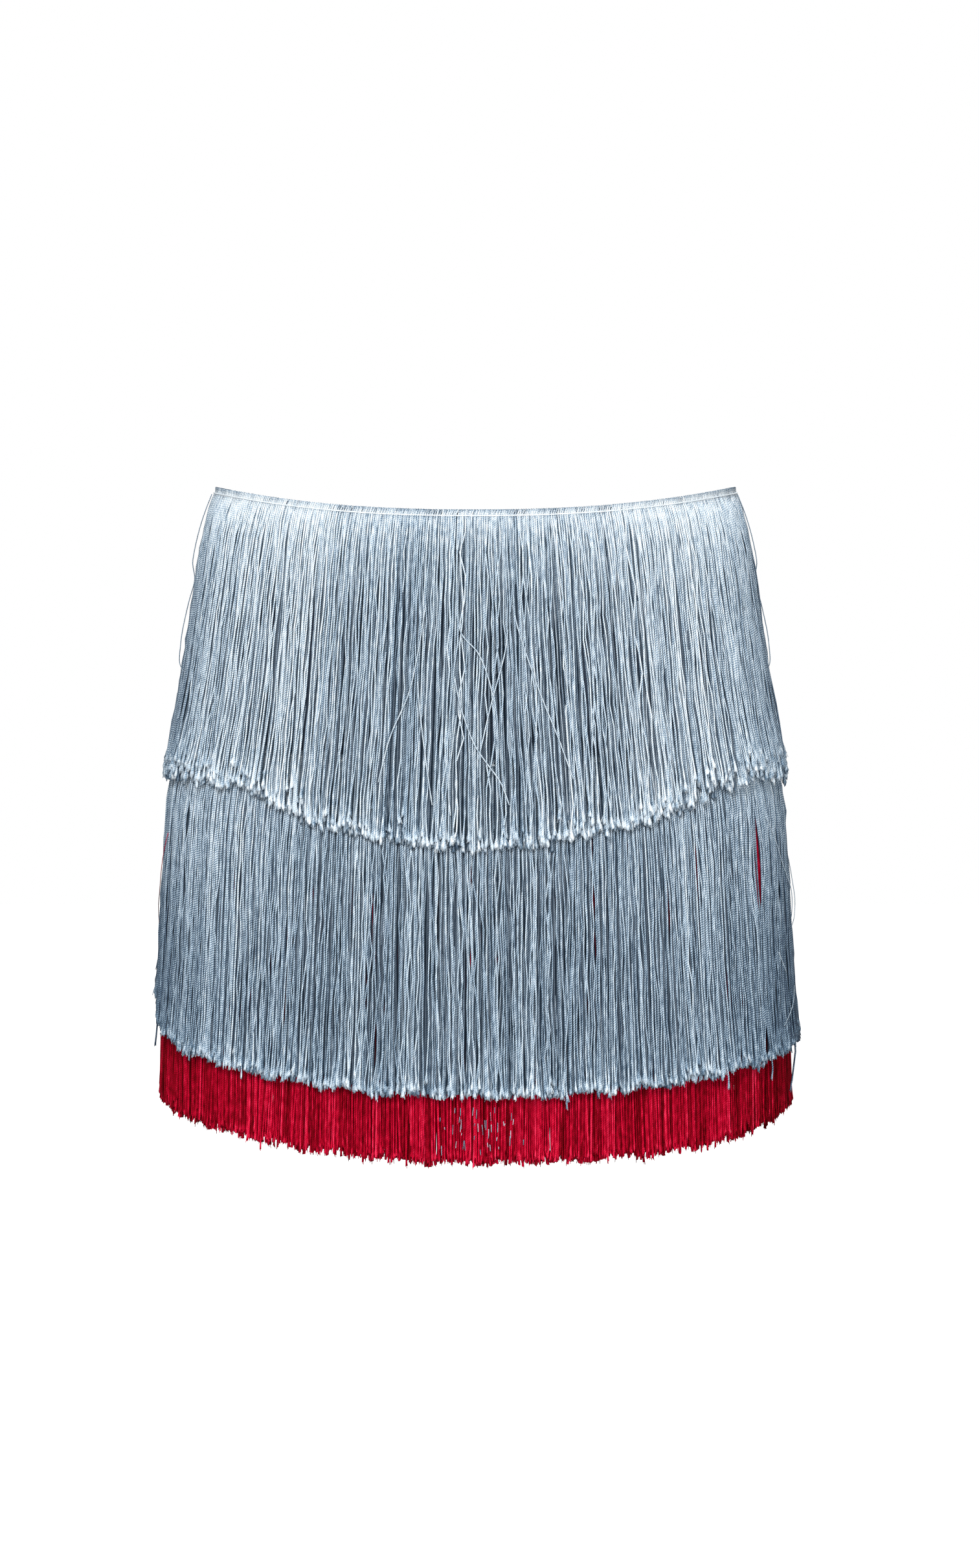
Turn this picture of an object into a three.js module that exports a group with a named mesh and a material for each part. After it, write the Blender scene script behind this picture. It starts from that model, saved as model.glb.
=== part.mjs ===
// Fringe mini skirt, worn shape, in millimetres, +Z up.
// A plain cloth base hugs the hips. Three lengths of fringe trim are sewn round it, one above the other:
// two pale blue ones and a red one at the bottom. Each trim is a narrow heading with locks hanging from it.
// The origin is the middle of the waist opening, level with the waist edge at centre front.
// The front faces -Y. A place on the skirt is given by a turn (0 at centre front, positive towards +X)
// and a drop (how far down the cloth it lies from the waist edge at that turn).
import * as THREE from "three";

// Driving sizes
const CLOTH = 1.2; // thickness of the base cloth
const SEAM_GAP = 0.3; // between the front and the back panel at each side seam
const BASE_LENGTH = 330; // waist edge to the hem of the base cloth
const SIDE_RISE = 15; // how much higher the waist edge is at the side seams than at centre front
const SIDE_RISE_POWER = 2.3; // how late the waist edge climbs on its way to the side seam
const HEADING = 5; // height of the woven heading of a fringe trim
const HEADING_THICK = 2.2;
const HEADING_CLEAR = 0.4; // between the base cloth and a heading sewn on it
const ROOT_GAP = 0.1; // share of the pitch left open between two locks at their roots
const TIP_GAP = 0.14; // the same at their tips
const LOCK_UNEVEN = 0.13; // how far a gap between two locks is off its even place, as a share of the pitch
const TIP_RAGGED = 3.0; // how far lock tips differ in drop, either way
const TIP_SLANT = 1.2; // how far one corner of a lock tip hangs below the other, either way
const PARTING_EDGE = 6; // how sharply the locks on the two sides of a parting turn away from it
const PARTING_SPAN = 0.45; // how far up and down a parting reaches, as a share of the length

// The outer face of the base cloth: half the width, and how far front and back stand off the side seams.
const BODY = [
  { drop: 0, halfWidth: 158, front: 106, back: 108 },
  { drop: 30, halfWidth: 164.5, front: 110, back: 115 },
  { drop: 60, halfWidth: 169, front: 114, back: 122 },
  { drop: 107, halfWidth: 176, front: 119, back: 131 },
  { drop: 150, halfWidth: 181.5, front: 123, back: 137 },
  { drop: 180, halfWidth: 184, front: 125.5, back: 139 },
  { drop: 230, halfWidth: 186.3, front: 129, back: 139 },
  { drop: 275, halfWidth: 188.6, front: 132.5, back: 138.5 },
  { drop: 335, halfWidth: 191.5, front: 137, back: 138.5 },
  { drop: 400, halfWidth: 193.5, front: 140, back: 139 },
];

// How the locks of each trim lie over what is under them: inner is their clearance from the base cloth,
// thick their own depth.
const TOP_LIE = [
  { drop: 30, inner: 1.0, thick: 3.0 },
  { drop: 107, inner: 1.4, thick: 3.0 },
  { drop: 145, inner: 3.5, thick: 3.0 },
  { drop: 167, inner: 5.3, thick: 3.0 },
  { drop: 205, inner: 7.2, thick: 3.0 },
];
const MIDDLE_LIE = [
  { drop: 168, inner: 0.8, thick: 2.8 },
  { drop: 190, inner: 3.4, thick: 2.6 },
  { drop: 230, inner: 4.5, thick: 2.8 },
  { drop: 285, inner: 4.9, thick: 2.8 },
  { drop: 320, inner: 5.8, thick: 2.8 },
  { drop: 352, inner: 7.4, thick: 2.8 },
];
const RED_LIE = [
  { drop: 215, inner: 0.8, thick: 2.7 },
  { drop: 390, inner: 0.9, thick: 2.8 },
];

// Where each trim's tips end: the drop all round, and the turns where they hang lower or end higher.
// A row adds `more` at its turn, fading out over `spread` degrees to each side.
const TOP_TIPS = {
  drop: 176,
  rows: [
    { turn: 2, spread: 38, more: 20 },
    { turn: 180, spread: 60, more: 14 },
  ],
};
const MIDDLE_TIPS = {
  drop: 343,
  rows: [
    { turn: -88, spread: 26, more: -16 },
    { turn: 180, spread: 70, more: 2 },
  ],
};
const RED_TIPS = { drop: 379, rows: [{ turn: 15, spread: 60, more: 4 }] };

// Partings, where the locks stand away from each other part of the way down: the turn, how far each side
// moves, in degrees, how wide the stir is, in degrees, and the share of the length where it is widest.
const TOP_PARTINGS = [
  { turn: -58, open: 0.5, spread: 12, at: 0.75 },
  { turn: -24, open: 0.7, spread: 9, at: 0.7 },
  { turn: 4, open: 0.9, spread: 10, at: 0.8 },
  { turn: 33, open: 0.6, spread: 11, at: 0.7 },
  { turn: 118, open: 0.7, spread: 12, at: 0.75 },
  { turn: 176, open: 0.8, spread: 10, at: 0.7 },
  { turn: -131, open: 0.6, spread: 12, at: 0.8 },
];
const MIDDLE_PARTINGS = [
  { turn: 66, open: 0.9, spread: 9, at: 0.5 },
  { turn: 20, open: 0.6, spread: 11, at: 0.8 },
  { turn: -17, open: 0.7, spread: 10, at: 0.85 },
  { turn: -49, open: 0.5, spread: 12, at: 0.7 },
  { turn: 139, open: 0.7, spread: 11, at: 0.7 },
  { turn: -152, open: 0.7, spread: 10, at: 0.75 },
];
const RED_PARTINGS = [
  { turn: -34, open: 0.7, spread: 10, at: 0.9 },
  { turn: 11, open: 0.7, spread: 9, at: 0.85 },
  { turn: 52, open: 0.6, spread: 11, at: 0.9 },
  { turn: 161, open: 0.7, spread: 10, at: 0.85 },
  { turn: -112, open: 0.6, spread: 12, at: 0.9 },
];

// The three trims. at is the drop of the heading's top edge. levels are the shares of a lock's length where
// it has a corner, and mix is the number that makes its unevenness unlike the others'.
const TRIMS = [
  {
    name: "fringe_top",
    colour: 0x9db3c8,
    mix: 1,
    at: 0,
    lie: TOP_LIE,
    locks: 80,
    tips: TOP_TIPS,
    partings: TOP_PARTINGS,
    levels: [0.16, 0.5, 0.74, 1],
  },
  {
    name: "fringe_middle",
    colour: 0x8ea4b9,
    mix: 2,
    at: 146,
    lie: MIDDLE_LIE,
    locks: 84,
    tips: MIDDLE_TIPS,
    partings: MIDDLE_PARTINGS,
    levels: [0.1, 0.22, 0.6, 1],
  },
  {
    name: "fringe_red",
    colour: 0x9c0f22,
    mix: 3,
    at: 190,
    lie: RED_LIE,
    locks: 84,
    tips: RED_TIPS,
    partings: RED_PARTINGS,
    levels: [0.12, 0.4, 0.7, 1],
  },
];

// The base panels: steps across and down, and which way each faces.
const PANEL_ACROSS = 22;
const PANEL_DROPS = [0, 30, 60, 107, 150, 180, 230, 275, BASE_LENGTH];
const PANELS = [
  { name: "base_front", middle: 0 },
  { name: "base_back", middle: 180 },
];
const BASE_COLOUR = 0x3b4c63;

const radians = THREE.MathUtils.degToRad;

// A column of a table at a drop, on a smooth curve through its rows.
function along(rows, drop, column) {
  const last = rows.length - 1;
  const at = THREE.MathUtils.clamp(drop, rows[0].drop, rows[last].drop);
  let i = 0;
  while (i < last - 1 && at > rows[i + 1].drop) i += 1;
  const slope = (a, b) =>
    (rows[b][column] - rows[a][column]) / (rows[b].drop - rows[a].drop);
  const here = slope(i, i + 1);
  const before = i > 0 ? slope(i - 1, i) : here;
  const after = i < last - 1 ? slope(i + 1, i + 2) : here;
  // A level stretch stays level, so that the curve never swings past its rows.
  const blend = (a, b) => (a * b <= 0 ? 0 : (2 * a * b) / (a + b));
  const step = rows[i + 1].drop - rows[i].drop;
  const t = (at - rows[i].drop) / step;
  const start = i > 0 ? blend(before, here) : here;
  const end = i < last - 1 ? blend(here, after) : here;
  return (
    (2 * t ** 3 - 3 * t ** 2 + 1) * rows[i][column] +
    (t ** 3 - 2 * t ** 2 + t) * step * start +
    (3 * t ** 2 - 2 * t ** 3) * rows[i + 1][column] +
    (t ** 3 - t ** 2) * step * end
  );
}

// The point at a turn in degrees and a drop, `out` away from the base cloth's outer face.
function place(turn, drop, out) {
  const angle = radians(turn);
  const across = Math.sin(angle);
  const ahead = Math.cos(angle);
  const depth = along(BODY, drop, ahead > 0 ? "front" : "back");
  const width = along(BODY, drop, "halfWidth");
  return new THREE.Vector3(
    (width + out) * across,
    -(depth + out) * ahead,
    SIDE_RISE * Math.abs(across) ** SIDE_RISE_POWER - drop,
  );
}

// What an uneven number is for, so that one lock's tip, slant and width differ by themselves.
const FOR_TIP = 0;
const FOR_SLANT = 10;
const FOR_WIDTH = 20;

// An uneven number from -1 to 1, always the same for the same trim, lock and purpose.
function uneven(trim, index, purpose) {
  const angle = index * 12.9898 + (trim.mix + purpose) * 78.233;
  const mixed = Math.sin(angle) * 43758.5453;
  return 2 * (mixed - Math.floor(mixed)) - 1;
}

// The turn from `from` to `to`, the short way round.
function turnBetween(from, to) {
  return ((((to - from + 180) % 360) + 360) % 360) - 180;
}

function tipDrop(tips, turn) {
  return tips.rows.reduce(
    (sum, row) =>
      sum +
      row.more * Math.exp(-((turnBetween(row.turn, turn) / row.spread) ** 2)),
    tips.drop,
  );
}

// Where a turn moves to at a share of the length, once the partings have opened.
function parted(partings, turn, share) {
  return partings.reduce((moved, row) => {
    const away = turnBetween(row.turn, turn) / row.spread;
    const push = Math.tanh(away * PARTING_EDGE) * Math.exp(-away * away);
    const bell = share * Math.exp(-(((share - row.at) / PARTING_SPAN) ** 2));
    return moved + row.open * push * bell;
  }, turn);
}

// Collects points and faces, and turns them into one closed mesh.
function makeShell() {
  const points = [];
  const faces = [];
  return {
    point: (vector) => points.push(vector.x, vector.y, vector.z) / 3 - 1,
    quad: (a, b, c, d) => faces.push(a, b, c, a, c, d),
    mesh(name, colour) {
      const geometry = new THREE.BufferGeometry();
      geometry.setAttribute(
        "position",
        new THREE.Float32BufferAttribute(points, 3),
      );
      geometry.setIndex(faces);
      geometry.computeVertexNormals();
      const material = new THREE.MeshStandardMaterial({
        color: colour,
        roughness: 0.75,
        metalness: 0,
      });
      const mesh = new THREE.Mesh(geometry, material);
      mesh.name = name;
      return mesh;
    },
  };
}

// One panel of the base: a wall of cloth from one side seam to the other.
function basePanel({ name, middle }) {
  const shell = makeShell();
  const layers = [0, -CLOTH].map((out) =>
    PANEL_DROPS.map((drop) => {
      const depth = along(BODY, drop, middle === 0 ? "front" : "back");
      const reach = 90 - THREE.MathUtils.radToDeg(SEAM_GAP / 2 / depth);
      return Array.from({ length: PANEL_ACROSS + 1 }, (_, i) =>
        shell.point(
          place(middle + reach * ((2 * i) / PANEL_ACROSS - 1), drop, out),
        ),
      );
    }),
  );
  const [outer, inner] = layers;
  const bottom = PANEL_DROPS.length - 1;
  for (let i = 0; i < PANEL_ACROSS; i += 1) {
    for (let j = 0; j < bottom; j += 1) {
      shell.quad(
        outer[j][i],
        outer[j + 1][i],
        outer[j + 1][i + 1],
        outer[j][i + 1],
      );
      shell.quad(
        inner[j][i + 1],
        inner[j + 1][i + 1],
        inner[j + 1][i],
        inner[j][i],
      );
    }
    shell.quad(inner[0][i], outer[0][i], outer[0][i + 1], inner[0][i + 1]);
    shell.quad(
      outer[bottom][i],
      inner[bottom][i],
      inner[bottom][i + 1],
      outer[bottom][i + 1],
    );
  }
  for (let j = 0; j < bottom; j += 1) {
    const end = PANEL_ACROSS;
    shell.quad(inner[j][0], inner[j + 1][0], outer[j + 1][0], outer[j][0]);
    shell.quad(
      outer[j][end],
      outer[j + 1][end],
      inner[j + 1][end],
      inner[j][end],
    );
  }
  return shell.mesh(name, BASE_COLOUR);
}

// How a trim lies from its heading down: flat on the base along the heading, then by its own rows.
function lieOf(trim) {
  const flat = { inner: HEADING_CLEAR, thick: HEADING_THICK };
  const heading = [
    { drop: trim.at, ...flat },
    { drop: trim.at + HEADING, ...flat },
  ];
  return [...heading, ...trim.lie];
}

// The four corners of a lock at a level: inner left, outer left, outer right, inner right.
function lockCorners(shell, trim, left, right, dropLeft, dropRight) {
  const lie = lieOf(trim);
  const corner = (turn, drop, outer) => {
    const inner = along(lie, drop, "inner");
    const out = outer ? inner + along(lie, drop, "thick") : inner;
    return shell.point(place(turn, drop, out));
  };
  return [
    corner(left, dropLeft, false),
    corner(left, dropLeft, true),
    corner(right, dropRight, true),
    corner(right, dropRight, false),
  ];
}

// One lock, from the four corners of its root down to its ragged tip.
function hangLock(shell, trim, index, root, left, right) {
  const from = trim.at + HEADING;
  const middle = (left + right) / 2;
  const ragged = TIP_RAGGED * uneven(trim, index, FOR_TIP);
  const tip = tipDrop(trim.tips, middle) + ragged;
  const slant = TIP_SLANT * uneven(trim, index, FOR_SLANT);
  const pitch = 360 / trim.locks;
  let above = root;
  for (const share of trim.levels) {
    const narrow = (pitch * (TIP_GAP - ROOT_GAP) * share) / 2;
    const drop = from + (tip - from) * share;
    const below = lockCorners(
      shell,
      trim,
      parted(trim.partings, left + narrow, share),
      parted(trim.partings, right - narrow, share),
      drop + slant * share,
      drop - slant * share,
    );
    for (let side = 0; side < 4; side += 1) {
      const next = (side + 1) % 4;
      shell.quad(above[side], below[side], below[next], above[next]);
    }
    above = below;
  }
  shell.quad(above[3], above[2], above[1], above[0]);
}

// One trim: a closed band of heading with locks hanging from its lower edge.
function fringeTrim(trim) {
  const shell = makeShell();
  const pitch = 360 / trim.locks;
  const gapAt = (i) =>
    (i + LOCK_UNEVEN * uneven(trim, i % trim.locks, FOR_WIDTH)) * pitch;
  const edges = [];
  for (let i = 0; i < trim.locks; i += 1) {
    edges.push(gapAt(i) + (ROOT_GAP / 2) * pitch);
    edges.push(gapAt(i + 1) - (ROOT_GAP / 2) * pitch);
  }
  const rims = edges.map((turn) => {
    const ring = (drop, out) => shell.point(place(turn, drop, out));
    const outer = HEADING_CLEAR + HEADING_THICK;
    return {
      turn,
      innerTop: ring(trim.at, HEADING_CLEAR),
      outerTop: ring(trim.at, outer),
      outerLow: ring(trim.at + HEADING, outer),
      innerLow: ring(trim.at + HEADING, HEADING_CLEAR),
    };
  });
  rims.forEach((a, i) => {
    const b = rims[(i + 1) % rims.length];
    shell.quad(a.innerTop, a.outerTop, b.outerTop, b.innerTop);
    shell.quad(a.outerTop, a.outerLow, b.outerLow, b.outerTop);
    shell.quad(a.innerLow, a.innerTop, b.innerTop, b.innerLow);
    if (i % 2 === 0) {
      const root = [a.innerLow, a.outerLow, b.outerLow, b.innerLow];
      hangLock(shell, trim, i / 2, root, a.turn, b.turn);
    } else {
      shell.quad(a.outerLow, a.innerLow, b.innerLow, b.outerLow);
    }
  });
  return shell.mesh(trim.name, trim.colour);
}

const skirt = new THREE.Group();
for (const panel of PANELS) skirt.add(basePanel(panel));
for (const trim of TRIMS) skirt.add(fringeTrim(trim));

export default skirt;
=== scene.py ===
# %% [markdown]
# # A fringe mini skirt
# This lesson dresses a plain solid model of a skirt until it looks like the real one.
# The real skirt is a cloth tube with three lengths of fringe trim sewn round it, two pale blue and one red.
# The solid model comes in first and stays where it is: each piece made here lies on it or stands for it.

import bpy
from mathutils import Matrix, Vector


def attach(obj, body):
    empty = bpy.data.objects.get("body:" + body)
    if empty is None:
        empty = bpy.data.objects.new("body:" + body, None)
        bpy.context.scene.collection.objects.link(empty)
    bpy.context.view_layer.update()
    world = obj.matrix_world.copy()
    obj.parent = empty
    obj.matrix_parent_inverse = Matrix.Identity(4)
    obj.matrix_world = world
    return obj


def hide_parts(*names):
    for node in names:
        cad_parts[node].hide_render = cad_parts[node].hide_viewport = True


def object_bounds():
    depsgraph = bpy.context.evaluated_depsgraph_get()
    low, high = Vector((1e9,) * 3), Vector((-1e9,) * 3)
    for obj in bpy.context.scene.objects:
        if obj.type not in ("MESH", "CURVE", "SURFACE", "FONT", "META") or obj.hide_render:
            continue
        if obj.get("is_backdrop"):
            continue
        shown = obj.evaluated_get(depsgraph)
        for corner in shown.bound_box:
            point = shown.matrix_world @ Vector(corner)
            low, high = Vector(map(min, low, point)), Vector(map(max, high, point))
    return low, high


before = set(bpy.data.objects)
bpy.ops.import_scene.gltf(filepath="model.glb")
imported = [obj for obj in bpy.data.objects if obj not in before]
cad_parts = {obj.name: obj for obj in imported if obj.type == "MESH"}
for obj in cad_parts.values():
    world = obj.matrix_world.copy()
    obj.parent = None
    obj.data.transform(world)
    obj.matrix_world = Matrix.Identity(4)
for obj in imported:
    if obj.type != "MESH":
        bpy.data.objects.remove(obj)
cad_low, cad_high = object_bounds()
print("solids:", sorted(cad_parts))

# %% Tools and units
import math

import bpy
import numpy as np
from mathutils import Vector

MM = 0.001
scene = bpy.context.scene
scene.view_settings.view_transform = "Standard"
scene.cycles.denoising_prefilter = "NONE"


def table(columns, *rows):
    """A short table: its columns are named once, and each row becomes a dictionary."""
    names = columns.split()
    return [dict(zip(names, row, strict=True)) for row in rows]


# %% [markdown]
# ## The camera
# The photograph is taken from far away with a long lens, from about the height of the waist edge, with the
# camera tilted slightly down. That shows the waist edge as a shallow dip and hides the inside of the back.
# It comes first, so that every later piece can be judged in its place.

# %% Camera
CAMERA_PLACE = (8.6, -2300, -27)
CAMERA_TILT = 3.503
LENS = 85.5

camera_data = bpy.data.cameras.new("camera")
camera_data.lens = LENS
camera = bpy.data.objects.new("camera", camera_data)
camera.location = [value * MM for value in CAMERA_PLACE]
camera.rotation_euler = (math.radians(90 - CAMERA_TILT), 0, 0)
scene.collection.objects.link(camera)
scene.camera = camera

# %% [markdown]
# ## The light
# The picture is lit softly from the front, a little from above and from the left, on white.
# Area lamps give the strands soft highlights, and those at the sides and behind serve the other views.
# The world's own light is weak, so that the narrow gaps between the strands stay dark: they make the fringe
# read as many separate threads. Only what the camera sees of the world and of the floor is pure white.

# %% Lamps
AIM = (0, 0, -190)
LAMPS = table(
    "name place size power",
    ("key", (-400, -2100, 1100), 600, 52),
    ("fill", (500, -2400, 0), 1200, 26),
    ("top", (0, -500, 1500), 800, 10),
    ("left side", (-2200, 900, 700), 1000, 14),
    ("right side", (2200, 900, 700), 1000, 14),
    ("behind", (300, 2300, 800), 1000, 50),
)


def add_lamp(row):
    lamp_data = bpy.data.lights.new(row["name"], "AREA")
    lamp_data.energy = row["power"]
    lamp_data.size = row["size"] * MM
    lamp = bpy.data.objects.new(row["name"], lamp_data)
    lamp.location = [value * MM for value in row["place"]]
    towards = Vector(AIM) - Vector(row["place"])
    lamp.rotation_euler = towards.to_track_quat("-Z", "Y").to_euler()
    scene.collection.objects.link(lamp)


for row in LAMPS:
    add_lamp(row)

# %% Nodes
def fill(node, inputs):
    """Give the inputs of a node their values, or links from other nodes."""
    for socket, value in inputs.items():
        if isinstance(value, bpy.types.NodeSocket):
            node.id_data.links.new(value, node.inputs[socket])
        else:
            node.inputs[socket].default_value = value


def add_node(tree, kind, inputs=None, **settings):
    node = tree.nodes.new(kind)
    for name, value in settings.items():
        setattr(node, name, value)
    fill(node, inputs or {})
    return node


# %% World
WORLD_LIGHT = 0.1
WHITE = (1, 1, 1, 1)

world = bpy.data.worlds.new("world")
world.use_nodes = True
world_tree = world.node_tree
soft_light = world_tree.nodes["Background"]
fill(soft_light, {"Color": WHITE, "Strength": WORLD_LIGHT})
white_ground = add_node(world_tree, "ShaderNodeBackground", {"Color": WHITE})
seen = add_node(world_tree, "ShaderNodeLightPath").outputs["Is Camera Ray"]
either = {0: seen, 1: soft_light.outputs[0], 2: white_ground.outputs[0]}
choice = add_node(world_tree, "ShaderNodeMixShader", either)
fill(world_tree.nodes["World Output"], {"Surface": choice.outputs[0]})
scene.world = world

# %% Floor
FLOOR_LEVEL = -900
FLOOR_SIZE = 14000
FLOOR_PALE = (0.95, 0.95, 0.95, 1)


def new_material(name):
    """A material, its node tree and its main shader."""
    material = bpy.data.materials.new(name)
    material.use_nodes = True
    return material, material.node_tree, material.node_tree.nodes["Principled BSDF"]


floor_mesh = bpy.data.meshes.new("floor")
reach = FLOOR_SIZE / 2 * MM
level = FLOOR_LEVEL * MM
corners = [(x * reach, y * reach, level) for x, y in ((-1, -1), (1, -1), (1, 1), (-1, 1))]
floor_mesh.from_pydata(corners, [], [(0, 1, 2, 3)])
floor_material, floor_tree, floor_shader = new_material("floor")
seen = add_node(floor_tree, "ShaderNodeLightPath").outputs["Is Camera Ray"]
fill(floor_shader, {"Base Color": FLOOR_PALE, "Roughness": 0.9})
fill(floor_shader, {"Emission Color": WHITE, "Emission Strength": seen})
floor_mesh.materials.append(floor_material)
floor = bpy.data.objects.new("floor", floor_mesh)
scene.collection.objects.link(floor)
floor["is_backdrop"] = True

# %% [markdown]
# ## The shape that everything hangs on
# A place on the skirt is a turn round the body, a drop down from the waist edge, and how far it stands off
# the cloth. The same short table as in the solid model gives the body's width and depth at each drop, so
# whatever is placed this way lies on the cloth from every side.

# %% Body
SIDE_RISE = 15
SIDE_RISE_POWER = 2.3
TURN_STEPS = 2880
SHORTEST = 1e-12
BODY = table(
    "drop half_width front back",
    (0, 158, 106, 108),
    (30, 164.5, 110, 115),
    (60, 169, 114, 122),
    (107, 176, 119, 131),
    (150, 181.5, 123, 137),
    (180, 184, 125.5, 139),
    (230, 186.3, 129, 139),
    (275, 188.6, 132.5, 138.5),
    (335, 191.5, 137, 138.5),
    (400, 193.5, 140, 139),
)


def curve_through(rows, column):
    """A function that gives a column of a table at any drop, on a smooth curve through its rows."""
    drops = np.array([row["drop"] for row in rows], float)
    values = np.array([row[column] for row in rows], float)
    steps = np.diff(drops)
    slopes = np.diff(values) / steps
    same_way = slopes[:-1] * slopes[1:] > 0
    total = np.where(same_way, slopes[:-1] + slopes[1:], 1)
    inner = np.where(same_way, 2 * slopes[:-1] * slopes[1:] / total, 0)
    leans = np.concatenate([slopes[:1], inner, slopes[-1:]])

    def at(drop):
        drop = np.clip(drop, drops[0], drops[-1])
        i = np.clip(np.searchsorted(drops, drop, side="right") - 1, 0, len(drops) - 2)
        t = (drop - drops[i]) / steps[i]
        low = (2 * t**3 - 3 * t**2 + 1) * values[i] + (t**3 - 2 * t**2 + t) * steps[i] * leans[i]
        high = (3 * t**2 - 2 * t**3) * values[i + 1] + (t**3 - t**2) * steps[i] * leans[i + 1]
        return low + high

    return at


half_width = curve_through(BODY, "half_width")
front_depth = curve_through(BODY, "front")
back_depth = curve_through(BODY, "back")


def depth_at(turn, drop):
    """How deep the body is on the side that the turn faces."""
    return np.where(np.cos(np.radians(turn)) > 0, front_depth(drop), back_depth(drop))


def place(turn, drop, out):
    """Points in metres at a turn in degrees and a drop, `out` mm off the cloth's outer face."""
    across, ahead = np.sin(np.radians(turn)), np.cos(np.radians(turn))
    x = (half_width(drop) + out) * across
    y = -(depth_at(turn, drop) + out) * ahead
    z = SIDE_RISE * np.abs(across) ** SIDE_RISE_POWER - drop
    return np.stack(np.broadcast_arrays(x, y, z), -1) * MM


def unit(vectors):
    """The same directions, each one long."""
    return vectors / np.maximum(np.linalg.norm(vectors, axis=-1, keepdims=True), SHORTEST)


def outward(turn, drop):
    """The level direction away from the cloth."""
    x = np.sin(np.radians(turn)) / half_width(drop)
    y = -np.cos(np.radians(turn)) / depth_at(turn, drop)
    return unit(np.stack(np.broadcast_arrays(x, y, 0 * x), -1))


def mm_per_degree(turn, drop):
    """How far one degree of turn goes along the cloth."""
    angle = np.radians(turn)
    along_x = half_width(drop) * np.cos(angle)
    along_y = depth_at(turn, drop) * np.sin(angle)
    return np.hypot(along_x, along_y) * math.pi / 180


def even_turns(count, drop):
    """Turns that share the way round the cloth evenly at a drop, and how long it is in mm."""
    turns = np.linspace(-180, 180, TURN_STEPS + 1)
    steps = mm_per_degree((turns[1:] + turns[:-1]) / 2, drop) * np.diff(turns)
    way = np.concatenate([[0], np.cumsum(steps)])
    return np.interp((np.arange(count) + 0.5) / count * way[-1], way, turns), way[-1]


print("girth at the waist and at the hem, mm:", even_turns(1, 0)[1].round(), even_turns(1, 380)[1].round())

# %% [markdown]
# ## Thousands of tubes as one mesh
# Each strand is a four-sided tube along its own path. Thousands of separate objects would be slow, so the
# points of all tubes are worked out at once as arrays and joined into one mesh.
# Two maps go with the mesh. One says how far along and round its yarn each point lies, in millimetres and
# turns, and carries the twist. The other gives every tube a strip of its own, for baking.
# Three numbers go with every point: how pale its strand is, painted light and shade included, how much
# painted shade it gets for lying deep, and how frayed it is.

# %% Tubes
SIDES = 4
MARKS = ("tone", "deep", "fray")
STRIP_SHAPE = 0.027
STRIP_EDGE = 0.1
STRIP_END = 0.02


def tubes(path, away, radius, marks, sides=SIDES, cell=None, start=0.0, jag=None):
    """Closed tubes along paths of shape (tubes, stations, 3) in metres, with the radius in mm.

    `start` shifts the twist of each tube, and `jag` roughens the last ring in width and length.
    """
    count, stations = path.shape[:2]
    along = unit(np.gradient(path, axis=1))
    side = unit(np.cross(away, along))
    up = np.cross(along, side)
    angle = 2 * math.pi * (np.arange(sides) / sides + 0.25)
    spoke = side[:, :, None] * np.cos(angle)[:, None] + up[:, :, None] * np.sin(angle)[:, None]
    width = np.broadcast_to(radius, (count, stations))[:, :, None, None] * MM
    points = path[:, :, None] + width * spoke
    if jag is not None:
        brushed = (width * spoke)[:, -1] * jag[0][:, :, None] + along[:, -1, None] * jag[1][:, :, None] * MM
        points[:, -1] = path[:, -1, None] + brushed
    steps = np.linalg.norm(np.diff(path, axis=1), axis=-1)
    length = np.concatenate([np.zeros((count, 1)), np.cumsum(steps, 1)], 1) / MM
    share = length / length[:, -1:]

    index = np.arange(count * stations * sides).reshape(count, stations, sides)
    turned = np.roll(index, -1, 2)
    walls = np.stack([index[:, :-1], turned[:, :-1], turned[:, 1:], index[:, 1:]], -1)
    ends = np.concatenate([index[:, 0, ::-1], index[:, -1]])
    near = np.arange(sides) / sides
    far = near + 1 / sides
    wall_round = np.broadcast_to(np.stack([near, far, far, near], -1), walls.shape)
    corner = np.concatenate([walls.ravel(), ends.ravel()])
    tube_of, station_of = corner // (stations * sides), corner // sides % stations
    part = {
        "points": points.reshape(-1, 3),
        "walls": walls.reshape(-1, 4),
        "ends": ends,
        "round": np.concatenate([wall_round.ravel(), np.full(ends.size, 0.5)]),
        "length": (length + start)[tube_of, station_of],
        "share": share[tube_of, station_of],
        "cell": tube_of if cell is None else cell[tube_of],
        "cells": count if cell is None else 0,
    }
    for name in MARKS:
        mark = np.broadcast_to(marks.get(name, 0.0), (count, stations))
        part[name] = np.repeat(mark.ravel(), sides)
    return part


def lay_cells(cell, cells, around, share):
    """A place on the baking map: a strip for each tube, in rows, with a gap between strips."""
    rows = max(1, round(math.sqrt(cells * STRIP_SHAPE)))
    columns = math.ceil(cells / rows)
    u = (cell % columns + STRIP_EDGE + (1 - 2 * STRIP_EDGE) * around) / columns
    v = (cell // columns + STRIP_END + (1 - 2 * STRIP_END) * share) / rows
    return np.stack([u, v], -1)


def new_piece(name, points, faces, material):
    """A smooth object in the scene from its points and faces."""
    mesh = bpy.data.meshes.new(name)
    mesh.from_pydata(points.tolist(), [], faces)
    mesh.polygons.foreach_set("use_smooth", np.ones(len(mesh.polygons), bool))
    mesh.materials.append(material)
    piece = bpy.data.objects.new(name, mesh)
    scene.collection.objects.link(piece)
    return piece


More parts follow.
